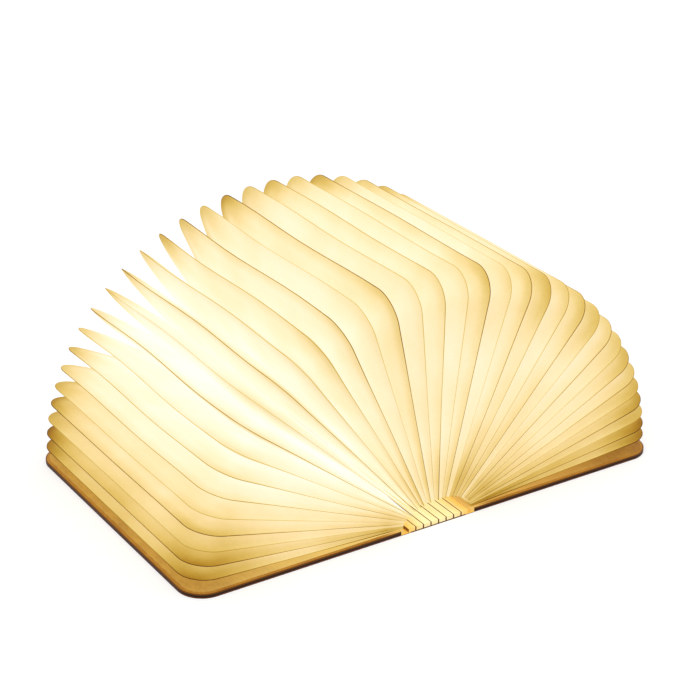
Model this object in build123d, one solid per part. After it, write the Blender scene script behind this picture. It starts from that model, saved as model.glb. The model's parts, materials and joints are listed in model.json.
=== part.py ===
from build123d import *
import math
import os

# A lamp shaped like a small hardback book, lying open at 180 degrees.
# X runs across the two covers, Y along the spine, Z up. The origin is on the
# underside, at the middle of the spine. The far end, at +Y, has the charge port.

# covers and spine, mm
book_height = 122.0
hinge_half_span = 14.0
cover_reach = 101.0
cover_corner_radius = 10.0
skin_thickness = 0.4
board_thickness = 1.3
lining_thickness = 0.3
lining_inset = 1.5
hinge_gap = 0.8
cloth_overlap = 1.1
glue_gap = 0.2

# spine floor: slats with fine grooves between them
slat_count = 8
slat_groove = 0.45
slat_thickness = 1.6

# pages: folded paper pockets that fan round the gutter
pages_per_side = 17
page_end_inset = 0.3
page_corner_radius = 10.5
page_wall = 0.3
page_root_offset = 3.0
valley_depth = 20.0
valley_corner_radius = 3.0
page_gap = 0.3
gutter_height = 6.3
gutter_base = 2.2
left_last_angle = 87.0
right_last_angle = 86.7
left_bulge_angle = 5.8
right_bulge_angle = 7.2
left_lag_angle = 1.0
right_lag_angle = 1.5
left_ripple_angle = 0.4
right_ripple_angle = 0.45
corner_steps = 3

# light bar
tray_width = 17.0
tray_height = 5.2
tray_wall = 0.8
tray_near_setback = 27.0
tray_far_setback = 2.0
cap_thickness = 1.4
ledge_width = 0.7
ledge_height = 0.8
dome_rise = 1.4
dome_wall = 0.6
fit_clearance = 0.1
part_clearance = 0.3

battery_width = 13.6
battery_thickness = 3.0
battery_setback = 7.0

led_board_length = 68.0
board_plate = 0.8
led_count = 12
led_size = 2.8
led_thickness = 0.6

control_board_length = 21.0
port_width = 9.0
port_length = 7.4
port_height = 3.2
port_wall = 0.35
sensor_size = 3.0
sensor_thickness = 1.0

screw_head_radius = 1.4
screw_head_height = 0.6
screw_shank_radius = 0.8
screw_spacing_x = 10.0
screw_battery_near_gap = 3.5
screw_battery_far_gap = 9.0
screw_board_gap = 11.7

# magnets in the covers
magnet_radius = 4.0
magnet_thickness = 1.0
magnet_inset_x = 9.0
magnet_inset_y = 13.0
sensor_magnet_radius = 1.5
sensor_magnet_x = 20.0

# worked out from the sizes above
cover_thickness = skin_thickness + board_thickness + lining_thickness
spine_half_width = hinge_half_span - hinge_gap
cover_start = hinge_half_span + hinge_gap
cloth_inner = spine_half_width - cloth_overlap
cloth_outer = cover_start + cloth_overlap
half_height = book_height / 2
page_height = book_height - 2 * page_end_inset
gutter_half_width = hinge_half_span
page_reach = cover_reach - gutter_half_width
magnet_y = half_height - magnet_inset_y
tray_near = -half_height + tray_near_setback
tray_far = half_height - tray_far_setback
battery_near = tray_near + battery_setback
floor_top = skin_thickness + slat_thickness
tray_top = floor_top + tray_height
tray_floor_top = floor_top + tray_wall
tray_inner_width = tray_width - 2 * tray_wall
led_board_bottom = tray_top - board_plate - fit_clearance
led_board_near = tray_near + part_clearance
control_board_far = tray_far - part_clearance
control_board_near = control_board_far - control_board_length
screw_near_y = battery_near - screw_battery_near_gap
screw_far_y = control_board_near - screw_board_gap
battery_far = screw_far_y - screw_battery_far_gap
sensor_y = control_board_near + 2 * sensor_size
far_face = tray_far + cap_thickness


def block(x_low, x_high, y_low, y_high, z_low, z_high):
    """A box between two corners."""
    size = (x_high - x_low, y_high - y_low, z_high - z_low)
    middle = ((x_low + x_high) / 2, (y_low + y_high) / 2, (z_low + z_high) / 2)
    return Pos(*middle) * Box(*size)


def disc(x, y, z_low, radius, height):
    """An upright cylinder that stands on z_low."""
    return Pos(x, y, z_low + height / 2) * Cylinder(radius, height)


def cover_plate(side, start, inset, z_low, thickness):
    """A flat plate of one cover, with round corners at the edge away from the spine."""
    reach = cover_reach - inset
    half = half_height - inset
    radius = cover_corner_radius - inset
    plate = block(start, reach, -half, half, z_low, z_low + thickness)
    corners = plate.edges().filter_by(Axis.Z).sort_by(Axis.X)[-2:]
    plate = fillet(corners, radius)
    return plate if side > 0 else mirror(plate, about=Plane.YZ)


def cover_skin(side):
    """The outer covering, which turns up round the three free edges of the board."""
    sheet = cover_plate(side, cloth_outer + glue_gap, 0, 0, skin_thickness)
    band = cover_plate(side, cover_start, 0, skin_thickness, board_thickness)
    core = cover_plate(side, 0, skin_thickness, skin_thickness, board_thickness)
    return sheet + (band - core)


def magnet_places(side):
    """Centres of the two closing magnets of one cover."""
    x = side * (cover_reach - magnet_inset_x)
    return [(x, -magnet_y), (x, magnet_y)]


def cover_board(side):
    """The stiff board, with pockets for its magnets in the underside."""
    board = cover_plate(side, cover_start, skin_thickness, skin_thickness, board_thickness)
    for x, y in magnet_places(side):
        board -= disc(x, y, skin_thickness, magnet_radius + fit_clearance, magnet_thickness)
    if side < 0:
        radius = sensor_magnet_radius + fit_clearance
        board -= disc(-sensor_magnet_x, sensor_y, skin_thickness, radius, magnet_thickness)
    return board


def cover_lining(side):
    """The sheet on the inner face of the board, to which the last page is glued."""
    return cover_plate(side, cover_start, lining_inset, skin_thickness + board_thickness, lining_thickness)


def cover_magnets(side):
    return [disc(x, y, skin_thickness, magnet_radius, magnet_thickness) for x, y in magnet_places(side)]


def hinge_cloth(side):
    """The cloth strip that joins a cover to the spine and bends at the hinge line."""
    x_low, x_high = sorted((side * cloth_inner, side * cloth_outer))
    return block(x_low, x_high, -half_height, half_height, 0, skin_thickness)


def spine_backing():
    half = cloth_inner - glue_gap
    return block(-half, half, -half_height, half_height, 0, skin_thickness)


def screw_places():
    """Centres of the four screws that hold the light bar to the spine."""
    half = screw_spacing_x / 2
    return [(x, y) for y in (screw_near_y, screw_far_y) for x in (-half, half)]


def spine_slats():
    """Strips of wood side by side, with a groove between each two."""
    pitch = 2 * spine_half_width / slat_count
    slats = []
    for i in range(slat_count):
        middle = -spine_half_width + (i + 0.5) * pitch
        half = (pitch - slat_groove) / 2
        slat = block(middle - half, middle + half, -half_height, half_height, skin_thickness, floor_top)
        for x, y in screw_places():
            slat -= disc(x, y, skin_thickness, screw_shank_radius + fit_clearance, slat_thickness)
        slats.append(slat)
    return slats


def light_tray():
    """The open channel that holds the battery and the boards."""
    half = tray_width / 2
    inner = tray_inner_width / 2
    tray = block(-half, half, tray_near, tray_far, floor_top, tray_top)
    tray -= block(-inner, inner, tray_near, tray_far, tray_floor_top, tray_top)
    ledge_top = led_board_bottom
    for side in (-1, 1):
        x_low, x_high = sorted((side * inner, side * (inner - ledge_width)))
        ledge_far = led_board_near + led_board_length
        tray += block(x_low, x_high, tray_near, ledge_far, ledge_top - ledge_height, ledge_top)
    for x, y in screw_places():
        tray -= disc(x, y, floor_top, screw_shank_radius + fit_clearance, tray_wall)
    return tray


def end_profile(y_low, thickness):
    """The light bar's outline with its domed top, as a plate across it."""
    half = tray_width / 2
    with BuildSketch(Plane.XZ.offset(-y_low)) as outline:
        with BuildLine():
            Polyline((-half, tray_top), (-half, floor_top), (half, floor_top), (half, tray_top))
            ThreePointArc((half, tray_top), (0, tray_top + dome_rise), (-half, tray_top))
        make_face()
    return extrude(outline.sketch, amount=-thickness)


def far_end_cap():
    """The cap at the charge end, with the slot for the port."""
    cap = end_profile(tray_far, cap_thickness)
    half = port_width / 2 + fit_clearance
    z_low = port_bottom() - fit_clearance
    z_high = port_bottom() + port_height + fit_clearance
    return cap - block(-half, half, tray_far, far_face, z_low, z_high)


def diffuser():
    """The milky dome over the lamps, a thin arched strip."""
    half = tray_width / 2
    with BuildSketch(Plane.XZ.offset(-tray_near)) as outline:
        with BuildLine():
            ThreePointArc((-half, tray_top), (0, tray_top + dome_rise), (half, tray_top))
            Line((half, tray_top), (half - dome_wall, tray_top))
            inner_rise = dome_rise - dome_wall
            inner_half = half - dome_wall
            ThreePointArc((inner_half, tray_top), (0, tray_top + inner_rise), (-inner_half, tray_top))
            Line((-inner_half, tray_top), (-half, tray_top))
        make_face()
    return extrude(outline.sketch, amount=-(tray_far - tray_near))


def battery_cell():
    half = battery_width / 2
    z_low = tray_floor_top
    cell = block(-half, half, battery_near, battery_far, z_low, z_low + battery_thickness)
    return fillet(cell.edges().filter_by(Axis.Y), battery_thickness / 3)


def control_board():
    half = tray_inner_width / 2 - fit_clearance
    return block(-half, half, control_board_near, control_board_far, tray_floor_top, tray_floor_top + board_plate)


def port_bottom():
    return tray_floor_top + board_plate


def charge_port():
    """The metal shell of the charge socket, open towards the far end, with its tongue."""
    half = port_width / 2
    y_low = far_face - port_length
    z_low = port_bottom()
    shell = block(-half, half, y_low, far_face, z_low, z_low + port_height)
    shell = fillet(shell.edges().filter_by(Axis.Y), port_height / 3)
    inner = half - port_wall
    hollow = block(-inner, inner, y_low + port_wall, far_face, z_low + port_wall, z_low + port_height - port_wall)
    hollow = fillet(hollow.edges().filter_by(Axis.Y), port_height / 4)
    middle = z_low + port_height / 2
    tongue = block(-inner / 1.4, inner / 1.4, y_low, far_face - 1, middle - port_wall, middle + port_wall)
    return shell - hollow + tongue


def hall_sensor():
    """The switch chip that feels the magnet in the left cover."""
    z_low = tray_floor_top + board_plate
    half = sensor_size / 2
    x = -tray_inner_width / 2 + sensor_size
    return block(x - half, x + half, sensor_y - half, sensor_y + half, z_low, z_low + sensor_thickness)


def led_board():
    half = tray_inner_width / 2 - fit_clearance
    y_high = led_board_near + led_board_length
    return block(-half, half, led_board_near, y_high, led_board_bottom, led_board_bottom + board_plate)


def leds():
    """Lamp chips in one row along the board."""
    pitch = led_board_length / led_count
    half = led_size / 2
    z_low = led_board_bottom + board_plate
    chips = []
    for i in range(led_count):
        y = led_board_near + (i + 0.5) * pitch
        chips.append(block(-half, half, y - half, y + half, z_low, z_low + led_thickness))
    return chips


def tray_screws():
    """Four screws whose heads press on the tray floor and whose shanks go into the slats."""
    screws = []
    for x, y in screw_places():
        head = disc(x, y, tray_floor_top, screw_head_radius, screw_head_height)
        shank = disc(x, y, skin_thickness, screw_shank_radius, tray_floor_top - skin_thickness)
        screws.append(head + shank)
    return screws


def fan_angle(side, number):
    """How far a page leans from upright, in degrees, towards its own side.

    To an even spread it adds a bulge over the whole fan, a lag in its upper half and a ripple.
    """
    last = left_last_angle if side < 0 else right_last_angle
    bulge = left_bulge_angle if side < 0 else right_bulge_angle
    lag = left_lag_angle if side < 0 else right_lag_angle
    ripple = left_ripple_angle if side < 0 else right_ripple_angle
    turn = math.pi * number / pages_per_side
    spread = last * number / pages_per_side
    return spread + bulge * math.sin(turn) - lag * math.sin(2 * turn) + ripple * math.sin(3 * turn)


def across(lean):
    """The direction in which a page leans out of the gutter, in the XZ plane."""
    return Vector(math.sin(math.radians(lean)), 0, math.cos(math.radians(lean)))


def gutter_point(lean):
    """Where a page that leans by this much meets the gutter arch."""
    out = across(lean)
    return Vector(gutter_half_width * out.X, 0, gutter_base + gutter_height * out.Z)


def page_stations():
    """Points along the ridge and the valley of a page, from the near root round to the far root.

    Each is (ridge reach, ridge y, valley reach, valley y).
    """
    half = page_height / 2
    inner_reach = page_reach - valley_depth
    inner_half = half - valley_depth
    near = [(page_root_offset, -half, page_root_offset, -inner_half)]
    for i in range(corner_steps + 1):
        turn = math.radians(90 * i / corner_steps)
        ridge_reach = page_reach - page_corner_radius * (1 - math.sin(turn))
        ridge_y = -half + page_corner_radius * (1 - math.cos(turn))
        valley_reach = inner_reach - valley_corner_radius * (1 - math.sin(turn))
        valley_y = -inner_half + valley_corner_radius * (1 - math.cos(turn))
        near.append((ridge_reach, ridge_y, valley_reach, valley_y))
    far = [(a, -b, c, -d) for a, b, c, d in reversed(near)]
    return near + far


def page(lean, lean_low, lean_high, low_is_cover=False, high_is_cover=False):
    """A folded paper pocket whose ridge leans by lean, between its two valleys."""
    root = gutter_point(lean)
    out = across(lean)
    normal = Vector(out.Z, 0, -out.X)

    def valley_width(valley_lean, is_cover, reach):
        """Distance from the page's middle plane to its valley, at this reach."""
        if is_cover:
            start = Vector(0, 0, cover_thickness + page_gap / 2)
            along = Vector(math.copysign(1, valley_lean), 0, 0)
        else:
            start = gutter_point(valley_lean)
            along = across(valley_lean)
        step = (reach - (start - root).dot(out)) / along.dot(out)
        distance = (start + along * step - root).dot(normal)
        return distance - math.copysign(page_gap / 2, distance)

    def place(reach, y, width):
        point = root + out * reach + normal * width
        return (point.X, y, point.Z)

    sections = []
    for ridge_reach, ridge_y, valley_reach, valley_y in page_stations():
        high = valley_width(lean_high, high_is_cover, valley_reach)
        low = valley_width(lean_low, low_is_cover, valley_reach)
        wall = page_wall / min(abs(high), abs(low))
        share = min(0.5, wall)
        inner_reach = ridge_reach + (valley_reach - ridge_reach) * share
        inner_y = ridge_y + (valley_y - ridge_y) * share
        corners = [
            place(ridge_reach, ridge_y, 0),
            place(valley_reach, valley_y, high),
            place(valley_reach, valley_y, high * (1 - min(0.5, page_wall / abs(high)))),
            place(inner_reach, inner_y, 0),
            place(valley_reach, valley_y, low * (1 - min(0.5, page_wall / abs(low)))),
            place(valley_reach, valley_y, low),
        ]
        sections.append(Wire.make_polygon(corners, close=True))
    return Solid.make_loft(sections, ruled=True)


def side_page(side, number):
    """Page number on one side, counted from the middle of the book outwards."""
    lean = fan_angle(side, number)
    inner = (fan_angle(side, number - 1) + lean) / 2
    last = number == pages_per_side
    outer = 90 if last else (fan_angle(side, number + 1) + lean) / 2
    return page(side * lean, side * inner, side * outer, high_is_cover=last)


def centre_page():
    return page(0, -fan_angle(-1, 1) / 2, fan_angle(1, 1) / 2)


def all_parts():
    """Every sub-part, by the name of its file."""
    parts = {
        "spine_backing": spine_backing(),
        "spine_slats": spine_slats(),
        "left_hinge_cloth": hinge_cloth(-1),
        "right_hinge_cloth": hinge_cloth(1),
        "light_tray": light_tray(),
        "near_end_cap": end_profile(tray_near - cap_thickness, cap_thickness),
        "far_end_cap": far_end_cap(),
        "diffuser": diffuser(),
        "battery_cell": battery_cell(),
        "control_board": control_board(),
        "charge_port": charge_port(),
        "hall_sensor": hall_sensor(),
        "led_board": led_board(),
        "leds": leds(),
        "tray_screws": tray_screws(),
        "sensor_magnet": disc(
            -sensor_magnet_x, sensor_y, skin_thickness, sensor_magnet_radius, magnet_thickness
        ),
        "centre_page": centre_page(),
    }
    for side, name in ((-1, "left"), (1, "right")):
        parts[f"{name}_board"] = cover_board(side)
        parts[f"{name}_skin"] = cover_skin(side)
        parts[f"{name}_lining"] = cover_lining(side)
        parts[f"{name}_magnets"] = cover_magnets(side)
        for number in range(1, pages_per_side + 1):
            parts[f"{name}_page_{number:02d}"] = side_page(side, number)
    return parts


def main():
    os.makedirs("parts", exist_ok=True)
    for name, shape in all_parts().items():
        solids = shape if isinstance(shape, list) else [shape]
        export_step(Compound(children=[Compound([solid]) for solid in solids]), f"parts/{name}.step")


if __name__ == "__main__":
    main()
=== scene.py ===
"""A lamp made like a small hardback book, lying open, with its lit paper pages fanned round the spine.

Lengths are in metres. X runs across the two covers, Y along the spine to the charging end, Z up.
"""

import json
import logging
import math
from contextlib import contextmanager
from dataclasses import dataclass, field
from enum import Enum
from typing import Callable, Iterator, Optional, Sequence

import bmesh
import bpy
from mathutils import Euler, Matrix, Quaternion, Vector


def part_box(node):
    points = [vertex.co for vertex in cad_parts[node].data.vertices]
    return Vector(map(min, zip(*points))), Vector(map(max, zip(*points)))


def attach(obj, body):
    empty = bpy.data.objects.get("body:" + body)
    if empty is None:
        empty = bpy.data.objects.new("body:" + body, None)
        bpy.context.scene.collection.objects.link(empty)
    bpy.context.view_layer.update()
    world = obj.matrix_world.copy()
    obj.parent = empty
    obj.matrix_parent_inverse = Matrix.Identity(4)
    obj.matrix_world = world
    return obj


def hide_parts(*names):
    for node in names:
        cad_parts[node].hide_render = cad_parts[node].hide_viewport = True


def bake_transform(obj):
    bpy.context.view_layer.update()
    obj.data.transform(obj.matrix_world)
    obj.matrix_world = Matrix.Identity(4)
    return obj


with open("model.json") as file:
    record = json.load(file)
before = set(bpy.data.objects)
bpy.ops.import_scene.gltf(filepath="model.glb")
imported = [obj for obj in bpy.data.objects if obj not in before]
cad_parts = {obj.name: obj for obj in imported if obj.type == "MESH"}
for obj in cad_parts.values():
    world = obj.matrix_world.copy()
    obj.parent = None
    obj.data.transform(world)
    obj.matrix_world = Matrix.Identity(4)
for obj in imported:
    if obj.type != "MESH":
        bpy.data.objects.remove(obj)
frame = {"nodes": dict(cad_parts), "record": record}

log = logging.getLogger("book_lamp")

# Two points within TOUCH are in one place, and vertices within DOUBLES are merged.
MM = 0.001
TOUCH = 0.001 * MM
DOUBLES = 0.01 * MM
QUARTER_TURN = math.pi / 2
BLACK = (0.0, 0.0, 0.0, 1.0)
WHITE = (1.0, 1.0, 1.0, 1.0)

Piece = bpy.types.Object
Socket = bpy.types.NodeSocket
Material = bpy.types.Material
Colour = tuple[int, int, int]
Range = tuple[float, float]
Place = Callable[[Vector], bool]


def linear(colour: Colour) -> tuple[float, float, float, float]:
    """Turn a colour as seen on a screen into the light values that a shader takes, by the sRGB curve.

    Args:
        colour: Red, green and blue, each from 0 to 255.

    Returns:
        The same colour in linear light, with full opacity.
    """
    shares = [channel / 255 for channel in colour]
    light = [s / 12.92 if s <= 0.04045 else ((s + 0.055) / 1.055) ** 2.4 for s in shares]
    return (*light, 1.0)


def rise(value: float, start: float, end: float) -> float:
    """Ease from 0 at start to 1 at end, flat at both and held outside them.

    Args:
        value: The value to ease.
        start: Where the rise starts, which may be above the end.
        end: Where it ends.

    Returns:
        A share from 0 to 1.
    """
    way = min(1.0, max(0.0, (value - start) / (end - start)))
    return way * way * (3 - 2 * way)


class Side(Enum):
    """The two halves of the open book, as seen from its near end."""

    LEFT = -1
    RIGHT = 1

    def named(self, part: str) -> str:
        """The name that a part has on this side in the frame."""
        return f"{self.name.lower()}_{part}"


class Bench:
    """Modelling moves, made on one piece at a time as by hand."""

    @staticmethod
    def clear() -> None:
        """Leave edit mode and deselect everything."""
        if bpy.context.mode != "OBJECT":
            bpy.ops.object.mode_set(mode="OBJECT")
        bpy.ops.object.select_all(action="DESELECT")

    @staticmethod
    def hold(*pieces: Piece) -> Piece:
        """Select these pieces alone, with the first one active.

        Args:
            pieces: The pieces to select.

        Returns:
            The first piece.
        """
        Bench.clear()
        for piece in pieces:
            piece.select_set(True)
        bpy.context.view_layer.objects.active = pieces[0]
        return pieces[0]

    @staticmethod
    @contextmanager
    def editing(piece: Piece) -> Iterator[Piece]:
        """Open a piece in edit mode with nothing selected, and close it at the end.

        Args:
            piece: The piece to work on.

        Returns:
            The same piece, while it is open.
        """
        Bench.hold(piece)
        bpy.ops.object.mode_set(mode="EDIT")
        bpy.ops.mesh.select_mode(type="VERT")
        bpy.ops.mesh.select_all(action="DESELECT")
        yield piece
        bpy.ops.object.mode_set(mode="OBJECT")

    @staticmethod
    def pick(piece: Piece, wanted: Place) -> None:
        """Select the vertices at the wanted places, with the edges and faces between them.

        Args:
            piece: The piece that is open in edit mode.
            wanted: Says of a point whether it is wanted.
        """
        bpy.ops.mesh.select_all(action="DESELECT")
        mesh = bmesh.from_edit_mesh(piece.data)
        for vertex in mesh.verts:
            vertex.select = wanted(vertex.co)
        mesh.select_flush(True)
        bmesh.update_edit_mesh(piece.data)

    @staticmethod
    def pick_edges(piece: Piece, wanted: Callable[[Vector, Vector], bool]) -> None:
        """Select the edges whose two ends are wanted.

        Args:
            piece: The piece that is open in edit mode.
            wanted: Says of an edge's two ends whether the edge is wanted.
        """
        bpy.ops.mesh.select_all(action="DESELECT")
        mesh = bmesh.from_edit_mesh(piece.data)
        for edge in mesh.edges:
            if wanted(edge.verts[0].co, edge.verts[1].co):
                edge.select_set(True)
        bmesh.update_edit_mesh(piece.data)

    @staticmethod
    def plane(name: str, low: Vector, high: Vector) -> Piece:
        """Add a flat rectangle at the height of its low corner.

        Args:
            name: The piece's name.
            low: One corner.
            high: The corner across from it.

        Returns:
            The new piece.
        """
        Bench.clear()
        bpy.ops.mesh.primitive_plane_add(size=2)
        piece = bpy.context.object
        piece.name = name
        piece.scale = ((high.x - low.x) / 2, (high.y - low.y) / 2, 1)
        piece.location = ((high.x + low.x) / 2, (high.y + low.y) / 2, low.z)
        return Bench.settle(piece)

    @staticmethod
    def block(name: str, low: Vector, high: Vector, rounding: float, steps: int = 3) -> Piece:
        """Add a box between two corners and round all its edges.

        Args:
            name: The piece's name.
            low: The lowest corner.
            high: The highest corner.
            rounding: How far the rounding reaches from each edge.
            steps: Facets across each rounding.

        Returns:
            The new piece.
        """
        Bench.clear()
        bpy.ops.mesh.primitive_cube_add(size=1)
        piece = bpy.context.object
        piece.name = name
        piece.scale = high - low
        piece.location = (high + low) / 2
        Bench.settle(piece)
        with Bench.editing(piece):
            bpy.ops.mesh.select_all(action="SELECT")
            bpy.ops.mesh.bevel(offset=rounding, segments=steps, affect="EDGES")
        return piece

    @staticmethod
    def settle(piece: Piece) -> Piece:
        """Put a piece's place, turn and scale into its mesh.

        Args:
            piece: The piece to settle.

        Returns:
            The same piece, now at the origin.
        """
        Bench.hold(piece)
        bpy.ops.object.transform_apply(location=True, rotation=True, scale=True)
        return piece

    @staticmethod
    def copy(piece: Piece, name: str) -> Piece:
        """Copy a piece, with a mesh of its own.

        Args:
            piece: The piece to copy.
            name: The copy's name.

        Returns:
            The copy.
        """
        twin = piece.copy()
        twin.data = piece.data.copy()
        twin.name = name
        bpy.context.scene.collection.objects.link(twin)
        return twin

    @staticmethod
    def join(*pieces: Piece) -> Piece:
        """Make several pieces one.

        Args:
            pieces: The pieces, of which the first gives its name.

        Returns:
            The joined piece.
        """
        Bench.hold(*pieces)
        bpy.ops.object.join()
        return pieces[0]

    @staticmethod
    def finish_with(piece: Piece, kind: str, **settings: object) -> Piece:
        """Add a modifier and apply it.

        Args:
            piece: The piece to change.
            kind: The modifier's kind.
            settings: What is set on the modifier.

        Returns:
            The same piece.
        """
        modifier = piece.modifiers.new(kind.lower(), kind)
        for key, value in settings.items():
            setattr(modifier, key, value)
        Bench.hold(piece)
        bpy.ops.object.modifier_apply(modifier=modifier.name)
        return piece

    @staticmethod
    def shade(piece: Piece, degrees: float = 35) -> Piece:
        """Shade a piece smooth.

        Args:
            piece: The piece.
            degrees: The angle over which an edge stays sharp.

        Returns:
            The same piece.
        """
        Bench.hold(piece)
        bpy.ops.object.shade_smooth_by_angle(angle=math.radians(degrees))
        return piece

    @staticmethod
    def write(piece: Piece, name: str, values: Sequence[float]) -> None:
        """Give each point of a piece a number of its own.

        Args:
            piece: The piece.
            name: What the numbers are kept under.
            values: One number for each point.
        """
        layer = piece.data.attributes.new(name, "FLOAT", "POINT")
        layer.data.foreach_set("value", values)

    @staticmethod
    def face_outwards(piece: Piece, outward: Callable[[Vector, Vector], bool]) -> None:
        """Merge doubles and turn every face the same way round.

        Args:
            piece: A piece whose wall has no thickness yet.
            outward: Says of a face's centre and normal whether it points outwards.
        """
        with Bench.editing(piece):
            bpy.ops.mesh.select_all(action="SELECT")
            bpy.ops.mesh.remove_doubles(threshold=DOUBLES)
            bpy.ops.mesh.normals_make_consistent(inside=False)
            mesh = bmesh.from_edit_mesh(piece.data)
            votes = sum(1 if outward(f.calc_center_median(), f.normal) else -1 for f in mesh.faces)
            if votes < 0:
                bpy.ops.mesh.select_all(action="SELECT")
                bpy.ops.mesh.flip_normals()


class Graph:
    """The nodes of one finish, with short ways to add and link them."""

    noise_ends: Range = (0.3, 0.7)

    def __init__(self, name: str, roughness: float, metallic: float = 0.0, sheen: float = 0.5) -> None:
        """Start a finish with its plain values on the shader's own sockets.

        Args:
            name: The finish's name.
            roughness: How rough the surface is.
            metallic: 1 for metal, 0 for all else.
            sheen: How strongly the surface reflects at a straight look.
        """
        self.material = bpy.data.materials.new(name)
        self.material.use_nodes = True
        self.nodes = self.material.node_tree.nodes
        self.links = self.material.node_tree.links
        self.shader = self.nodes["Principled BSDF"]
        self.shader.inputs["Roughness"].default_value = roughness
        self.shader.inputs["Metallic"].default_value = metallic
        self.shader.inputs["Specular IOR Level"].default_value = sheen

    def add(self, kind: str, inputs: Optional[dict] = None, **settings: object) -> bpy.types.Node:
        """Add a node.

        Args:
            kind: The node's kind, without its first word.
            inputs: Values or sockets for its inputs, by name or number.
            settings: What is set on the node.

        Returns:
            The new node.
        """
        node = self.nodes.new("ShaderNode" + kind)
        for key, value in settings.items():
            setattr(node, key, value)
        for key, value in (inputs or {}).items():
            if isinstance(value, Socket):
                self.links.new(value, node.inputs[key])
            else:
                node.inputs[key].default_value = value
        return node

    def place(self, along: float = 1) -> Socket:
        """The point on the piece, in its own coordinates, scaled along the spine."""
        point = self.add("TexCoord").outputs["Object"]
        return self.add("Mapping", {"Vector": point, "Scale": (1, along, 1)}).outputs["Vector"]

    def height(self, point: Socket) -> Socket:
        """How high a point is."""
        return self.add("SeparateXYZ", {0: point}).outputs["Z"]

    def aside(self, point: Socket) -> Socket:
        """How far a point or a direction goes to either side."""
        across = self.add("SeparateXYZ", {0: point}).outputs["X"]
        return self.maths("ABSOLUTE", across, 0)

    def sideways(self, low: float, high: float) -> Socket:
        """Whether the surface faces left or right: 0 up to a low tilt, 1 from a high one."""
        normal = self.add("TexCoord").outputs["Normal"]
        return self.span(self.aside(normal), low, high, 0, 1)

    def noise(self, vector: Socket, size: float, detail: float = 3) -> Socket:
        """Cloudy noise whose clouds are about this size."""
        values = {"Vector": vector, "Scale": 1 / size, "Detail": detail}
        return self.add("TexNoise", values).outputs["Fac"]

    def mottle(self, vector: Socket, size: float, shade: float, detail: float = 3) -> Socket:
        """Cloudy noise as a change of level, from minus this shade to plus it."""
        return self.span(self.noise(vector, size, detail), *self.noise_ends, -shade, shade)

    def attribute(self, name: str) -> Socket:
        """A number that each point of the mesh carries."""
        return self.add("Attribute", attribute_name=name).outputs["Fac"]

    def maths(self, operation: str, first: object, second: object) -> Socket:
        """Do a sum on two values or sockets."""
        return self.add("Math", {0: first, 1: second}, operation=operation).outputs[0]

    def span(self, value: object, low: float, high: float, at_low: float, at_high: float) -> Socket:
        """Ease from one value at low to another at high, and hold them outside."""
        inputs = {"Value": value, 1: low, 2: high, 3: at_low, 4: at_high}
        return self.add("MapRange", inputs, interpolation_type="SMOOTHSTEP").outputs[0]

    def ramp(self, value: Socket, stops: Sequence[tuple[float, Colour]]) -> Socket:
        """Turn a value into a colour.

        Args:
            value: The socket that gives the value.
            stops: Each value with its colour, in rising order.

        Returns:
            The colour's socket.
        """
        node = self.add("ValToRGB", {0: value})
        elements = node.color_ramp.elements
        while len(elements) < len(stops):
            elements.new(1.0)
        for element, (position, colour) in zip(elements, stops):
            element.position = position
            element.color = linear(colour)
        return node.outputs["Color"]

    def mix(self, share: object, first: object, second: object, way: str = "MIX") -> Socket:
        """Mix two colours."""
        inputs = {0: share, 6: first, 7: second}
        return self.add("Mix", inputs, data_type="RGBA", blend_type=way).outputs[2]

    def relief(self, *layers: tuple[Socket, float]) -> None:
        """Give the surface its fine relief.

        Args:
            layers: Each layer's height socket with the depth of its relief, in metres.
        """
        below = None
        for height, depth in layers:
            inputs = {"Height": height, "Distance": depth, "Strength": 1.0}
            if below is not None:
                inputs["Normal"] = below
            below = self.add("Bump", inputs).outputs["Normal"]
        self.links.new(below, self.shader.inputs["Normal"])

    def colour(self, socket: Socket) -> None:
        """Link a colour to the shader's base colour."""
        self.links.new(socket, self.shader.inputs["Base Color"])

    def glow(self, socket: Socket, strength: float) -> None:
        """Link a colour to the light that the surface gives off."""
        self.links.new(socket, self.shader.inputs["Emission Color"])
        self.shader.inputs["Emission Strength"].default_value = strength

    def shine(self, colour: Socket, own_share: float, strength: float) -> None:
        """Let a surface show a colour partly by what it reflects and partly by what it gives off.

        Args:
            colour: The colour's socket.
            own_share: The share of the colour that the surface reflects.
            strength: The strength of the light that it gives off.
        """
        self.colour(self.mix(1.0, colour, (own_share, own_share, own_share, 1), "MULTIPLY"))
        self.glow(colour, strength)


@dataclass(frozen=True)
class Finish:
    """What most finishes share: a name, two tones with their places on the ramp, and two shader values."""

    name: str
    dark: Colour
    light: Colour
    roughness: float = 0.5
    glow_strength: float = 0.0
    dark_at: float = 0.3
    light_at: float = 0.7

    def tones(self, graph: Graph, level: Socket) -> Socket:
        """Turn a value into a colour between the two tones."""
        return graph.ramp(level, ((self.dark_at, self.dark), (self.light_at, self.light)))


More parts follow.
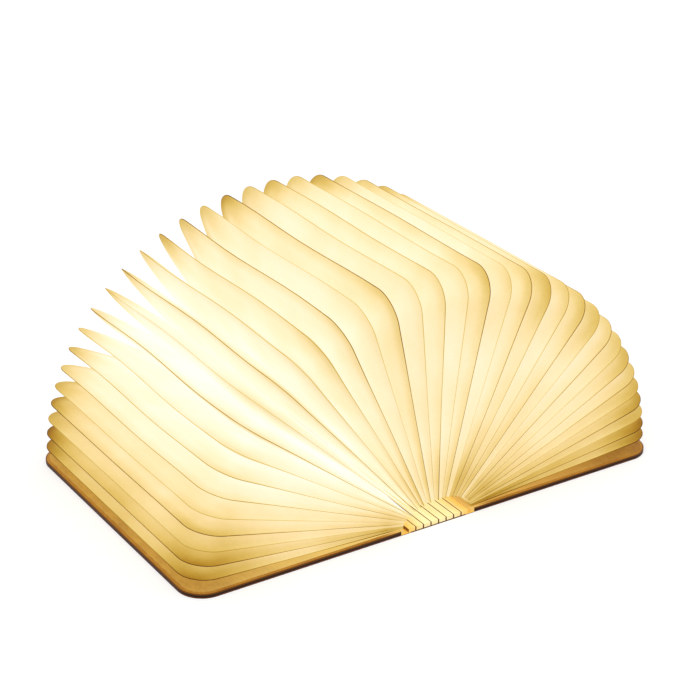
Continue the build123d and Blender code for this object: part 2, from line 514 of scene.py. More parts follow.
@dataclass(frozen=True)
class LitPaper:
    """The pages' paper, lit warm from inside.

    The mesh carries three numbers at each point: "warmth", how much light gets there, painted as a level of
    light and shade, "from_ridge", the distance to the page's outer edge, and "crease", the strength of the
    painted shade line along that edge.
    """

    stops: tuple[tuple[float, Colour], ...] = (
        (0.00, (84, 46, 4)),
        (0.10, (124, 76, 8)),
        (0.22, (176, 130, 34)),
        (0.34, (204, 167, 70)),
        (0.46, (224, 192, 104)),
        (0.58, (240, 213, 141)),
        (0.70, (253, 231, 178)),
        (0.80, (255, 242, 203)),
        (0.90, (255, 250, 224)),
        (1.00, (255, 255, 246)),
    )
    roughness: float = 0.72
    sheen: float = 0.15
    own_share: float = 0.38
    glow_strength: float = 0.64
    line_ends: Range = (0.16 * MM, 0.48 * MM)
    line_levels: Range = (0.35, 0.95)
    line_shades: Range = (-0.3, -0.4)
    fringe: float = 5.5 * MM
    fringe_shade: float = -0.1
    deep: float = 18 * MM
    deep_light: float = 0.05
    cloud: float = 22 * MM
    cloud_shade: float = 0.03
    fibre: float = 0.7 * MM
    fibre_shade: float = 0.01
    cockle: float = 9 * MM
    cockle_depth: float = 0.12 * MM
    tooth: float = 0.5 * MM
    tooth_depth: float = 0.012 * MM

    def build(self) -> Material:
        """Make the material.

        Returns:
            The finished material.
        """
        graph = Graph("lit_paper", self.roughness, sheen=self.sheen)
        point = graph.place()
        edge = graph.attribute("from_ridge")
        level = graph.attribute("warmth")
        crease = graph.attribute("crease")
        # Painted shade: a thin dark line along the page's outer edge with a soft shade beside it, and painted
        # light further in.
        line = graph.span(edge, *self.line_ends, 1, 0)
        line = graph.maths("MULTIPLY", line, graph.span(level, *self.line_levels, *self.line_shades))
        layers = (
            graph.maths("MULTIPLY", line, crease),
            graph.maths("MULTIPLY", graph.span(edge, 0, self.fringe, self.fringe_shade, 0), crease),
            graph.span(edge, self.fringe, self.deep, 0, self.deep_light),
            graph.mottle(point, self.cloud, self.cloud_shade),
            graph.mottle(graph.place(along=0.5), self.fibre, self.fibre_shade, detail=5),
        )
        for layer in layers:
            level = graph.maths("ADD", level, layer)
        graph.shine(graph.ramp(level, self.stops), self.own_share, self.glow_strength)
        cockles = graph.noise(point, self.cockle)
        tooth = graph.noise(point, self.tooth, detail=4)
        graph.relief((cockles, self.cockle_depth), (tooth, self.tooth_depth))
        return graph.material


@dataclass(frozen=True)
class SheetPaper(Finish):
    """Plain matt paper with fibres, inside the covers, lit warm by the pages and most by the spine."""

    roughness: float = 0.8
    glow_strength: float = 0.62
    own_share: float = 0.4
    lit: Colour = (250, 208, 116)
    lit_share: float = 0.9
    lit_until: float = 14 * MM
    fades_until: float = 26 * MM
    cloud: float = 12 * MM
    fibre: float = 0.6 * MM
    fibre_share: float = 0.5
    fibre_depth: float = 0.02 * MM

    def build(self) -> Material:
        """Make the material.

        Returns:
            The finished material.
        """
        graph = Graph(self.name, self.roughness)
        point = graph.place()
        fibres = graph.noise(graph.place(along=0.25), self.fibre, detail=6)
        level = graph.mix(self.fibre_share, graph.noise(point, self.cloud), fibres)
        near = graph.span(graph.aside(point), self.lit_until, self.fades_until, self.lit_share, 0)
        colour = graph.mix(near, self.tones(graph, level), linear(self.lit))
        graph.shine(colour, self.own_share, self.glow_strength)
        graph.relief((fibres, self.fibre_depth))
        return graph.material


@dataclass(frozen=True)
class Timber(Finish):
    """Wood whose grain runs along the spine, dark in its grooves, where the lamp doesn't reach."""

    glow_strength: float = 0.54
    dark_at: float = 0.32
    light_at: float = 0.68
    own_share: float = 0.55
    groove: Colour = (120, 70, 12)
    groove_top: float = 0.0
    groove_fade: float = 0.15 * MM
    wall_tilts: Range = (0.3, 0.7)
    end: Colour = (250, 198, 84)
    end_share: float = 0.85
    end_from: float = 6 * MM
    end_to: float = 13 * MM
    figure: float = 1.6 * MM
    pore: float = 0.22 * MM
    pore_share: float = 0.35
    pore_depth: float = 0.03 * MM

    def build(self) -> Material:
        """Make the material.

        Returns:
            The finished material.
        """
        graph = Graph(self.name, self.roughness)
        point = graph.place()
        figure = graph.noise(graph.place(along=0.06), self.figure, detail=4)
        pores = graph.noise(graph.place(along=0.04), self.pore)
        colour = self.tones(graph, graph.mix(self.pore_share, figure, pores))
        ends = graph.span(graph.aside(point), self.end_from, self.end_to, 0, self.end_share)
        colour = graph.mix(ends, colour, linear(self.end))
        # Painted shade: the side walls below the lit top take the dark groove colour, and the wood glows with
        # painted lamp light.
        low = graph.span(graph.height(point), self.groove_top - self.groove_fade, self.groove_top, 1, 0)
        wall = graph.maths("MULTIPLY", low, graph.sideways(*self.wall_tilts))
        graph.shine(graph.mix(wall, colour, linear(self.groove)), self.own_share, self.glow_strength)
        graph.relief((pores, self.pore_depth))
        return graph.material


@dataclass(frozen=True)
class Hide(Finish):
    """The covers' smooth dark skin, with fine pebbled grain, near-black from just above its bottom, and with
    painted lamp light along its top.
    """

    name: str = "cover_hide"
    dark: Colour = (74, 34, 10)
    light: Colour = (128, 66, 20)
    glow_strength: float = 0.3
    dark_at: float = 0.25
    sheen: float = 0.16
    edge: Colour = (30, 14, 4)
    edge_from: float = 0.35 * MM
    edge_to: float = 0.75 * MM
    lit: Colour = (104, 60, 12)
    lit_depth: float = 0.7 * MM
    cloud: float = 10 * MM
    pebble: float = 1.1 * MM
    pebble_share: float = 0.35
    pebble_depth: float = 0.05 * MM
    pore: float = 0.3 * MM
    pore_depth: float = 0.01 * MM

    def build(self) -> Material:
        """Make the material.

        Returns:
            The finished material.
        """
        graph = Graph(self.name, self.roughness, sheen=self.sheen)
        point = graph.place()
        pebbles = graph.add("TexVoronoi", {"Vector": point, "Scale": 1 / self.pebble}).outputs["Distance"]
        level = graph.mix(self.pebble_share, graph.noise(point, self.cloud), pebbles)
        height = graph.height(point)
        rim = graph.span(height, self.edge_from, self.edge_to, 0, 1)
        colour = graph.mix(rim, self.tones(graph, level), linear(self.edge))
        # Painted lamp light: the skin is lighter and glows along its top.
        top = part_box(Side.LEFT.named("skin"))[1].z
        lit = graph.span(height, top - self.lit_depth, top, 0, 1)
        graph.colour(graph.mix(lit, colour, linear(self.lit)))
        graph.glow(graph.mix(lit, BLACK, linear(self.lit)), self.glow_strength)
        graph.relief((pebbles, self.pebble_depth), (graph.noise(point, self.pore), self.pore_depth))
        return graph.material


@dataclass(frozen=True)
class Weave(Finish):
    """Fine binding cloth, dark on its outside and lit golden by the lamp on its inner side.

    The mesh carries "inner_side" at each point: 1 on the side towards the pages, 0 on the other.
    """

    name: str = "binding_cloth"
    dark: Colour = (28, 16, 9)
    light: Colour = (70, 42, 24)
    roughness: float = 0.85
    glow_strength: float = 0.55
    dark_at: float = 0.2
    light_at: float = 0.75
    lit_dark: Colour = (206, 150, 52)
    lit_light: Colour = (250, 210, 104)
    cloud: float = 3 * MM
    cloud_share: float = 0.5
    thread: float = 0.45 * MM
    thread_depth: float = 0.05 * MM
    side_ends: Range = (0.4, 0.6)

    def build(self) -> Material:
        """Make the material.

        Returns:
            The finished material.
        """
        graph = Graph(self.name, self.roughness)
        point = graph.place()
        inputs = {"Vector": point, "Scale": 1 / self.thread}
        bands = [graph.add("TexWave", inputs, bands_direction=way).outputs["Fac"] for way in "XY"]
        threads = graph.maths("MULTIPLY", *bands)
        level = graph.mix(self.cloud_share, threads, graph.noise(point, self.cloud))
        inner = graph.ramp(level, ((self.dark_at, self.lit_dark), (self.light_at, self.lit_light)))
        share = graph.span(graph.attribute("inner_side"), *self.side_ends, 0, 1)
        graph.colour(graph.mix(share, self.tones(graph, level), inner))
        graph.glow(graph.mix(share, BLACK, inner), self.glow_strength)
        graph.relief((threads, self.thread_depth))
        return graph.material


@dataclass(frozen=True)
class Moulded(Finish):
    """Matt moulded plastic or lacquer, with a fine spark-eroded texture."""

    cloud: float = 6 * MM
    grain: float = 0.25 * MM
    grain_share: float = 0.3
    grain_depth: float = 0.01 * MM

    def build(self) -> Material:
        """Make the material.

        Returns:
            The finished material.
        """
        graph = Graph(self.name, self.roughness)
        point = graph.place()
        grain = graph.noise(point, self.grain, detail=2)
        colour = self.tones(graph, graph.mix(self.grain_share, graph.noise(point, self.cloud), grain))
        graph.colour(colour)
        if self.glow_strength:
            graph.glow(colour, self.glow_strength)
        graph.relief((grain, self.grain_depth))
        return graph.material


@dataclass(frozen=True)
class Metal(Finish):
    """Plated or brushed metal, streaked along the spine."""

    streak: float = 0.3 * MM
    streak_depth: float = 0.005 * MM

    def build(self) -> Material:
        """Make the material.

        Returns:
            The finished material.
        """
        graph = Graph(self.name, self.roughness, metallic=1.0)
        streaks = graph.noise(graph.place(along=0.05), self.streak)
        graph.colour(self.tones(graph, streaks))
        graph.relief((streaks, self.streak_depth))
        return graph.material


def dress(material: Material, *nodes: str) -> None:
    """Give nodes of the frame their finish.

    Args:
        material: The finish for all their surfaces.
        nodes: The nodes' names.
    """
    for node in nodes:
        piece = frame["nodes"][node]
        if not piece.material_slots:
            piece.data.materials.append(material)
        for slot in piece.material_slots:
            slot.material = material
        log.info("%s dressed with %s", node, material.name)


def stand_in(piece: Piece, material: Material, slot: str, *nodes: str) -> None:
    """Finish a new piece and let it stand for nodes of the frame.

    Args:
        piece: The finished mesh.
        material: Its finish.
        slot: The record's name for that finish; not used.
        nodes: The nodes that it stands for.
    """
    piece.data.materials.clear()
    piece.data.materials.append(material)
    if nodes:
        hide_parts(*nodes)
    log.info("%s has %d faces", piece.name, len(piece.data.polygons))


@dataclass(frozen=True)
class LeafPlane:
    """A plane along the spine in which a page's ridge or a valley between two pages lies."""

    lean: float
    root: Vector = field(default_factory=Vector)

    @property
    def turn(self) -> float:
        """The lean as a share of a quarter turn, from -1 at the left cover to 1 at the right one."""
        return self.lean / QUARTER_TURN

    @property
    def out(self) -> Vector:
        """The direction out of the gutter."""
        return Vector((math.sin(self.lean), 0, math.cos(self.lean)))

    @property
    def normal(self) -> Vector:
        """The direction across the plane, towards the right cover."""
        return Vector((math.cos(self.lean), 0, -math.sin(self.lean)))

    def reach(self, point: Vector) -> float:
        """How far out of the gutter a point lies."""
        return (point - self.root).dot(self.out)

    def offset(self, point: Vector) -> float:
        """How far to the right of the plane a point lies."""
        return (point - self.root).dot(self.normal)

    def moved(self, distance: float) -> "LeafPlane":
        """The same plane, moved to the right by a distance."""
        return LeafPlane(self.lean, self.root + self.normal * distance)


@dataclass(frozen=True)
class Spot:
    """Where a point lies on its page.

    Attributes:
        number: The page's number, counted from the middle of the book outwards.
        turn: The page's lean, from -1 at the left cover to 1 at the right one.
        reach: How far out of the gutter the point is.
        near: How far it is from the spine's middle towards the near end.
        edge: Its distance from the page's outer edge.
        corner: Its distance from the nearest corner, along that edge.
        offset: Its distance from the page's middle plane.
    """

    number: int
    turn: float
    reach: float
    near: float
    edge: float
    corner: float
    offset: float


@dataclass(frozen=True)
class PageLight:
    """How bright the lamp makes the pages, painted as levels of light and shade from 0, dark brown, to 1,
    almost white.

    A range of turns or lengths says where something starts and where it is complete. The paces make it
    vary from page to page. Low pages are those by the covers. A leg is the near stretch of a page, between
    its root and its outer corner, and a foot is the end of a leg by the gutter.
    """

    middle: float = 0.82
    page_share: float = 0.03
    page_pace: float = 2.3
    hot_light: float = 0.11
    hot_turn: float = -0.56
    hot_spread: float = 0.19
    right_light: float = 0.035
    right_light_turns: Range = (0.0, 0.2)
    right_end_turns: Range = (1.0, 0.7)
    low_turns: Range = (0.72, 1.0)
    left_low_shade: float = 0.25
    right_low_shade: float = 0.22
    leg_from: Range = (25 * MM, 50 * MM)
    leg_reach: Range = (75 * MM, 35 * MM)
    left_leg_relief: float = 0.5
    right_leg_shade: float = 0.05
    right_leg_turns: Range = (0.0, 0.4)
    corner_depth: float = 14 * MM
    corner_length: float = 30 * MM
    corner_share: float = 0.25
    corner_pace: float = 4.1
    far_corner_shade: float = 0.32
    near_corner_shade: float = 0.12
    right_corner_shade: float = 0.18
    right_corner_turns: Range = (-0.1, 0.4)
    left_corner_shade: float = 0.13
    left_corner_turns: Range = (-0.75, -0.95)
    root_reach: float = 26 * MM
    root_shade: float = 0.05
    right_root_shade: float = 0.1
    right_root_turns: Range = (-0.2, 0.4)
    root_share: float = 0.08
    root_pace: float = 5.3
    root_share_reach: float = 40 * MM
    foot_reach: float = 34 * MM
    foot_from: Range = (30 * MM, 50 * MM)
    foot_offsets: Range = (0.32 * MM, 1.92 * MM)
    foot_shade: float = 0.3
    root_glow: float = 0.1
    glow_reach: float = 6 * MM
    crease_share: float = 0.4
    crease_pace: float = 3.7
    crease_growth: float = 1.1
    crease_reach: float = 45 * MM

    def by_lean(self, spot: Spot) -> float:
        """The level that a page has by its lean.

        Args:
            spot: The place on the page.

        Returns:
            The level before the corners' and the roots' shade.
        """
        turn = spot.turn
        left = turn < 0
        shade = (self.left_low_shade if left else self.right_low_shade) * rise(abs(turn), *self.low_turns)
        leg = rise(spot.near, *self.leg_from) * rise(spot.reach, *self.leg_reach)
        leg_shade = self.right_leg_shade * rise(turn, *self.right_leg_turns)
        shade += leg * (-self.left_leg_relief * shade if left else leg_shade)
        hot = self.hot_light * math.exp(-(((turn - self.hot_turn) / self.hot_spread) ** 2))
        lift = self.right_light * rise(turn, *self.right_light_turns) * rise(turn, *self.right_end_turns)
        return self.middle + lift + hot - shade + self.page_share * math.sin(self.page_pace * spot.number)

    def corner_shade(self, spot: Spot) -> float:
        """How much darker a page gets round its outer corners.

        Args:
            spot: The place on the page.

        Returns:
            What the level loses there.
        """
        nearness = rise(spot.edge, self.corner_depth, 0) * rise(spot.corner, self.corner_length, 0)
        nearness *= 1 + self.corner_share * math.sin(self.corner_pace * spot.number)
        if spot.near <= 0:
            return self.far_corner_shade * nearness
        right = self.right_corner_shade * rise(spot.turn, *self.right_corner_turns)
        left = self.left_corner_shade * rise(spot.turn, *self.left_corner_turns)
        return (self.near_corner_shade + right + left) * nearness

    def root_change(self, spot: Spot) -> float:
        """How a page's level changes by its root, dark in the folds and bright at the very end.

        Args:
            spot: The place on the page.

        Returns:
            What the level gains there, mostly below 0.
        """
        right = self.right_root_shade * rise(spot.turn, *self.right_root_turns)
        shade = (self.root_shade + right) * rise(spot.reach, self.root_reach, 0)
        waver = self.root_share * math.sin(self.root_pace * spot.number)
        shade += waver * rise(spot.reach, self.root_share_reach, 0)
        foot = rise(spot.reach, self.foot_reach, 0) * rise(spot.near, *self.foot_from)
        shade += self.foot_shade * foot * rise(spot.offset, *self.foot_offsets)
        return self.root_glow * rise(spot.reach, self.glow_reach, 0) - shade

    def warmth(self, spot: Spot) -> float:
        """The whole painted level of light and shade at a place on a page."""
        return self.by_lean(spot) - self.corner_shade(spot) + self.root_change(spot)

    def crease(self, spot: Spot) -> float:
        """How strong the painted shade line along a page's outer edge is: strongest by its roots."""
        foot = 1 + self.crease_growth * rise(spot.reach, self.crease_reach, 0)
        return foot * (1 + self.crease_share * math.sin(self.crease_pace * spot.number))


@dataclass
class PageFan:
    """The folded pages that stand round the gutter from cover to cover."""

    gutter_half_width: float = 14 * MM
    gutter_base: float = 2.2 * MM
    gutter_height: float = 6.3 * MM
    near_root: float = 1 * MM
    far_root: float = 3 * MM
    corner_radius: float = 10.5 * MM
    corner_steps: int = 12
    valley_depth: float = 20 * MM
    valley_corner_radius: float = 3 * MM
    tab_width: float = 3 * MM
    gap: float = 0.12 * MM
    sheet: float = 0.2 * MM
    fold_rounding: float = 0.45 * MM
    fold_steps: int = 3
    belly: float = 0.55 * MM
    belly_lean: float = 0.7
    wave: float = 0.45 * MM
    wave_reach: Range = (40 * MM, 80 * MM)
    wave_turns: Range = (0.95, 0.65)
    wave_length: float = 84 * MM
    wave_drift: float = 6.0
    mid_share: float = 0.8
    leg_cuts: int = 9
    ring_cuts: int = 7
    smooth_angle: float = 50
    paper: LitPaper = field(default_factory=LitPaper)
    light: PageLight = field(default_factory=PageLight)
    outlines: dict[str, Piece] = field(default_factory=dict)
    leans: dict[Side, list[float]] = field(default_factory=dict)

    def __post_init__(self) -> None:
        """Take the pages' size and leans from the frame."""
        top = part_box("centre_page")[1]
        self.half_height = top.y
        self.reach = top.z - self.gutter_base - self.gutter_height
        for side in Side:
            ratios = [
                coupling["ratio"]
                for coupling in frame["record"]["behaviour"]["couplings"]
                if coupling["joint"].startswith(side.named("fold"))
            ]
            self.leans[side] = [0.0] + [QUARTER_TURN * ratio for ratio in ratios]

    def plane_at(self, lean: float) -> LeafPlane:
        """The plane of a page or valley, from the arch that bounds the gutter.

        Args:
            lean: Its angle from upright, above 0 to the right.

        Returns:
            The plane.
        """
        out = LeafPlane(lean).out
        root = Vector((self.gutter_half_width * out.x, 0, self.gutter_base + self.gutter_height * out.z))
        return LeafPlane(lean, root)

    def cover_plane(self, side: Side) -> LeafPlane:
        """The plane of the lining, on which the last page of a side is glued.

        Args:
            side: The cover's side.

        Returns:
            The plane, half a gap above the lining.
        """
        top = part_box(side.named("lining"))[1].z
        root = Vector((side.value * self.gutter_half_width, 0, top + self.gap / 2))
        return LeafPlane(side.value * QUARTER_TURN, root)

    def valley_width(self, ridge: LeafPlane, valley: LeafPlane) -> float:
        """How far a valley lies from its ridge, most of the way out."""
        out = (self.reach - self.valley_depth) * self.mid_share
        return abs(valley.offset(ridge.root + ridge.out * out))

    def from_ridge(self, plane: LeafPlane, point: Vector) -> float:
        """The distance of a point from the outer edge of its page, along the page.

        Args:
            plane: The page's middle plane.
            point: The point.

        Returns:
            The distance, above 0 inside the page.
        """
        beyond_x = plane.reach(point) - (self.reach - self.corner_radius)
        beyond_y = abs(point.y) - (self.half_height - self.corner_radius)
        outside = math.hypot(max(beyond_x, 0), max(beyond_y, 0))
        return self.corner_radius - outside - min(max(beyond_x, beyond_y), 0)

    def spot(self, plane: LeafPlane, number: int, point: Vector) -> Spot:
        """Say where a point lies on its page.

        Args:
            plane: The page's middle plane.
            number: The page's number.
            point: The point.

        Returns:
            Its place on the page.
        """
        reach = plane.reach(point)
        corner = abs(self.reach - reach - self.half_height + abs(point.y))
        edge = self.from_ridge(plane, point)
        return Spot(number, plane.turn, reach, -point.y, edge, corner, abs(plane.offset(point)))

    def draw_outline(self, name: str, inset: float, radius: float) -> None:
        """Draw the open outline of a page flat on the ground, once, for the pages to copy.

        Args:
            name: What the outline is kept under.
            inset: How far it lies inside the page's outer edge.
            radius: The radius of its two corners.
        """
        reach = self.reach - inset
        half = self.half_height - inset
        loop = Bench.plane(name, Vector((self.far_root, -half, 0)), Vector((reach, half, 0)))
        with Bench.editing(loop):
            Bench.pick(loop, lambda p: p.x > reach - TOUCH)
            bpy.ops.mesh.bevel(offset=radius, segments=self.corner_steps, affect="VERTICES")
            bpy.ops.mesh.select_all(action="SELECT")
            bpy.ops.mesh.delete(type="ONLY_FACE")
            Bench.pick_edges(loop, lambda a, b: max(a.x, b.x) < self.far_root + TOUCH)
            bpy.ops.mesh.delete(type="EDGE")
            Bench.pick(loop, lambda p: p.x < self.far_root + TOUCH and p.y < 0)
            bpy.ops.transform.translate(value=(self.near_root - self.far_root, 0, 0))
            Bench.pick_edges(loop, lambda a, b: (a - b).length > self.corner_radius)
            bpy.ops.mesh.subdivide(number_cuts=self.leg_cuts)
        self.outlines[name] = loop

    def outline(self, name: str, plane: LeafPlane) -> Piece:
        """Copy an outline into a plane.

        Args:
            name: What the outline is kept under.
            plane: Where the copy goes.

        Returns:
            The copy.
        """
        loop = Bench.copy(self.outlines[name], name)
        loop.rotation_euler = (0, plane.lean - QUARTER_TURN, 0)
        loop.location = plane.root
        return Bench.settle(loop)

    def flank(self, ridge: LeafPlane, valley: LeafPlane) -> Piece:
        """Bridge a page's outer edge to one valley, with a glue tab beyond it.

        Args:
            ridge: The page's middle plane.
            valley: The plane of its valley.

        Returns:
            The flank, as a sheet with no thickness.
        """
        sheet = Bench.join(self.outline("edge", ridge), self.outline("valley", valley))
        with Bench.editing(sheet):
            bpy.ops.mesh.select_all(action="SELECT")
            bpy.ops.mesh.bridge_edge_loops(number_cuts=self.ring_cuts, interpolation="LINEAR")
        sheet = Bench.join(sheet, self.outline("tab", valley))
        with Bench.editing(sheet):
            Bench.pick(sheet, lambda p: abs(valley.offset(p)) < TOUCH)
            bpy.ops.mesh.bridge_edge_loops()
        return sheet

    def fold(self, name: str, ridge: LeafPlane, left: LeafPlane, right: LeafPlane) -> Piece:
        """Make the two flanks of a page, folded together over a rounded edge.

        Args:
            name: The page's name.
            ridge: Its middle plane.
            left: The plane of its valley on the left.
            right: The plane of its valley on the right.

        Returns:
            The page, as a sheet with no thickness.
        """
        half = self.gap / 2
        page = Bench.join(self.flank(ridge, left.moved(half)), self.flank(ridge, right.moved(-half)))
        page.name = name
        Bench.face_outwards(page, lambda centre, normal: normal.dot(ridge.normal) * ridge.offset(centre) > 0)
        with Bench.editing(page):
            Bench.pick(page, lambda p: abs(ridge.offset(p)) < TOUCH)
            bpy.ops.mesh.bevel(offset=self.fold_rounding, segments=self.fold_steps, affect="EDGES")
        self.puff(page, ridge)
        return page

    def puff(self, page: Piece, ridge: LeafPlane) -> None:
        """Let a page's flanks belly out a little between the outer edge and the valley.

        Args:
            page: The folded sheet.
            ridge: Its middle plane.
        """
        group = page.vertex_groups.new(name="belly")
        for vertex in page.data.vertices:
            way = min(1.0, max(0.0, self.from_ridge(ridge, vertex.co) / self.valley_depth))
            width = min(1.0, ridge.reach(vertex.co) / (self.reach - self.valley_depth))
            group.add([vertex.index], math.sin(math.pi * way ** self.belly_lean) * width, "REPLACE")
        Bench.finish_with(page, "DISPLACE", strength=self.belly, mid_level=0, vertex_group=group.name)
        page.vertex_groups.clear()

    def ripple(self, page: Piece) -> None:
        """Let a page wave a little along its length, in step with its neighbours so that they stay clear.

        Args:
            page: The page, with its paper's thickness.
        """
        for vertex in page.data.vertices:
            point = vertex.co
            out = Vector((point.x, 0, point.z - self.gutter_base))
            plane = LeafPlane(math.atan2(out.x, out.z))
            size = self.wave * rise(out.length, *self.wave_reach) * rise(abs(plane.turn), *self.wave_turns)
            phase = math.tau * point.y / self.wave_length + self.wave_drift * plane.lean
            vertex.co = point + plane.normal * size * math.sin(phase)

    def mark(self, page: Piece, ridge: LeafPlane, number: int) -> None:
        """Give each point of a page the numbers that its paper reads: its distance from the edge, and its
        painted light and shade.

        Args:
            page: The page, before it waves.
            ridge: Its middle plane.
            number: Its number.
        """
        spots = [self.spot(ridge, number, vertex.co) for vertex in page.data.vertices]
        Bench.write(page, "from_ridge", [spot.edge for spot in spots])
        Bench.write(page, "warmth", [self.light.warmth(spot) for spot in spots])
        Bench.write(page, "crease", [self.light.crease(spot) for spot in spots])

    def finish(self, page: Piece, ridge: LeafPlane, number: int, material: Material, *nodes: str) -> None:
        """Give a folded sheet its thickness, its painted light, its wave and its finish.

        Args:
            page: The sheet.
            ridge: Its page's middle plane.
            number: Its page's number.
            material: The paper.
            nodes: The nodes of the frame that it stands for.
        """
        Bench.finish_with(page, "SOLIDIFY", thickness=self.sheet, offset=-1, use_even_offset=False)
        Bench.shade(page, self.smooth_angle)
        self.mark(page, ridge, number)
        self.ripple(page)
        stand_in(page, material, "page_paper", *nodes)

    def split(self, page: Piece, ridge: LeafPlane, towards: int, name: str) -> Piece:
        """Part one flank of a page from the other along the ridge.

        Args:
            page: The folded sheet.
            ridge: Its middle plane.
            towards: Which flank goes: 1 for the right one, -1 for the left one.
            name: The parted flank's name.

        Returns:
            The parted flank.
        """
        with Bench.editing(page):
            bpy.ops.mesh.select_mode(type="FACE")
            mesh = bmesh.from_edit_mesh(page.data)
            for face in mesh.faces:
                face.select_set(towards * ridge.offset(face.calc_center_median()) > 0)
            bmesh.update_edit_mesh(page.data)
            bpy.ops.mesh.separate(type="SELECTED")
        parted = next(piece for piece in bpy.context.selected_objects if piece is not page)
        parted.name = name
        return parted

    def hang(self, page: Piece, ridge: LeafPlane, side: Side, gain: float) -> None:
        """Put a page's place, turn and scale into its mesh.

        Args:
            page: The finished page.
            ridge: Its middle plane; not used.
            side: Which cover it bends towards; not used.
            gain: How much the share grows with each metre towards the cover; not used.
        """
        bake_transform(page)

    def side_page(self, side: Side, number: int, material: Material) -> None:
        """Make one page of a side.

        Args:
            side: The page's side.
            number: Its number, counted from the middle of the book outwards.
            material: The paper.
        """
        leans = self.leans[side]
        last = number == len(leans) - 1
        lean = leans[number]
        ridge = self.plane_at(side.value * lean)
        inner = self.plane_at(side.value * (leans[number - 1] + lean) / 2)
        outer = self.cover_plane(side) if last else self.plane_at(side.value * (lean + leans[number + 1]) / 2)
        inner_gain, outer_gain = (
            abs(valley.turn - ridge.turn) / self.valley_width(ridge, valley) for valley in (inner, outer)
        )
        name = side.named(f"page_{number:02d}")
        planes = (inner, outer) if side is Side.RIGHT else (outer, inner)
        page = self.fold(name + "_paper", ridge, *planes)
        gain = (inner_gain + outer_gain) / 2
        if last:
            glued = self.split(page, ridge, side.value, name + "_glued_sheet")
            self.finish(glued, ridge, number, material)
            self.hang(glued, ridge, side, outer_gain)
            gain = inner_gain
        self.finish(page, ridge, number, material, name)
        self.hang(page, ridge, side, gain)

    def centre_page(self, material: Material) -> None:
        """Make the page that stands upright, as two flanks parted along its ridge.

        Args:
            material: The paper.
        """
        ridge = self.plane_at(0)
        valleys = {side: self.plane_at(side.value * self.leans[side][1] / 2) for side in Side}
        page = self.fold("centre_page_left_paper", ridge, valleys[Side.LEFT], valleys[Side.RIGHT])
        right = self.split(page, ridge, Side.RIGHT.value, "centre_page_right_paper")
        for side, flank in ((Side.LEFT, page), (Side.RIGHT, right)):
            self.finish(flank, ridge, 0, material, "centre_page")
            width = self.valley_width(ridge, valleys[side])
            side.named("page_01")
            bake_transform(flank)

    def build(self) -> None:
        """Make all the pages."""
        self.draw_outline("edge", 0, self.corner_radius)
        self.draw_outline("valley", self.valley_depth, self.valley_corner_radius)
        self.draw_outline("tab", self.valley_depth + self.tab_width, self.valley_corner_radius)
        material = self.paper.build()
        self.centre_page(material)
        for side in Side:
            for number in range(1, len(self.leans[side])):
                self.side_page(side, number, material)
        for loop in self.outlines.values():
            bpy.data.objects.remove(loop)


@dataclass
class Cover:
    """One hard cover: skin, board, lining and magnets."""

    side: Side
    corner_radius: float = 10 * MM
    corner_steps: int = 16
    skin: float = 0.4 * MM
    glue_gap: float = 0.2 * MM
    edge_rounding: float = 0.15 * MM
    edge_steps: int = 3

    def wrap(self, material: Material) -> None:
        """Make the skin, which turns up round the board's free edges.

        Args:
            material: The skin's finish.
        """
        low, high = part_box(self.side.named("skin"))
        strip_low, strip_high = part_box(self.side.named("hinge_cloth"))
        if self.side is Side.RIGHT:
            low.x, outer_x = strip_high.x + self.glue_gap, high.x
        else:
            high.x, outer_x = strip_low.x - self.glue_gap, low.x
        rise_to_top = {"value": (0, 0, high.z - low.z)}
        drop_to_board = {"value": (0, 0, low.z + self.skin - high.z)}
        wrap = Bench.plane(self.side.named("cover_wrap"), low, high)
        with Bench.editing(wrap):
            Bench.pick(wrap, lambda p: abs(p.x - outer_x) < TOUCH)
            bpy.ops.mesh.bevel(offset=self.corner_radius, segments=self.corner_steps, affect="VERTICES")
            bpy.ops.mesh.select_all(action="SELECT")
            bpy.ops.mesh.extrude_region_move(TRANSFORM_OT_translate=rise_to_top)
            Bench.pick(wrap, lambda p: p.z > high.z - TOUCH)
            bpy.ops.mesh.inset(thickness=self.skin, use_even_offset=True)
            bpy.ops.mesh.extrude_region_move(TRANSFORM_OT_translate=drop_to_board)
            bpy.ops.mesh.select_all(action="SELECT")
            bpy.ops.mesh.normals_make_consistent(inside=False)
        rounding = {"width": self.edge_rounding, "segments": self.edge_steps}
        Bench.finish_with(wrap, "BEVEL", limit_method="ANGLE", **rounding)
        Bench.shade(wrap)
        stand_in(wrap, material, "cover_skin", self.side.named("skin"))
        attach(wrap, self.side.named("cover"))

    def build(self, hide: Material, board: Material, lining: Material, plated: Material) -> None:
        """Make and dress the cover.

        Args:
            hide: The skin's finish.
            board: The board's.
            lining: The inner sheet's.
            plated: The magnets'.
        """
        self.wrap(hide)
        dress(board, self.side.named("board"))
        dress(lining, self.side.named("lining"))
        dress(plated, self.side.named("magnets"))


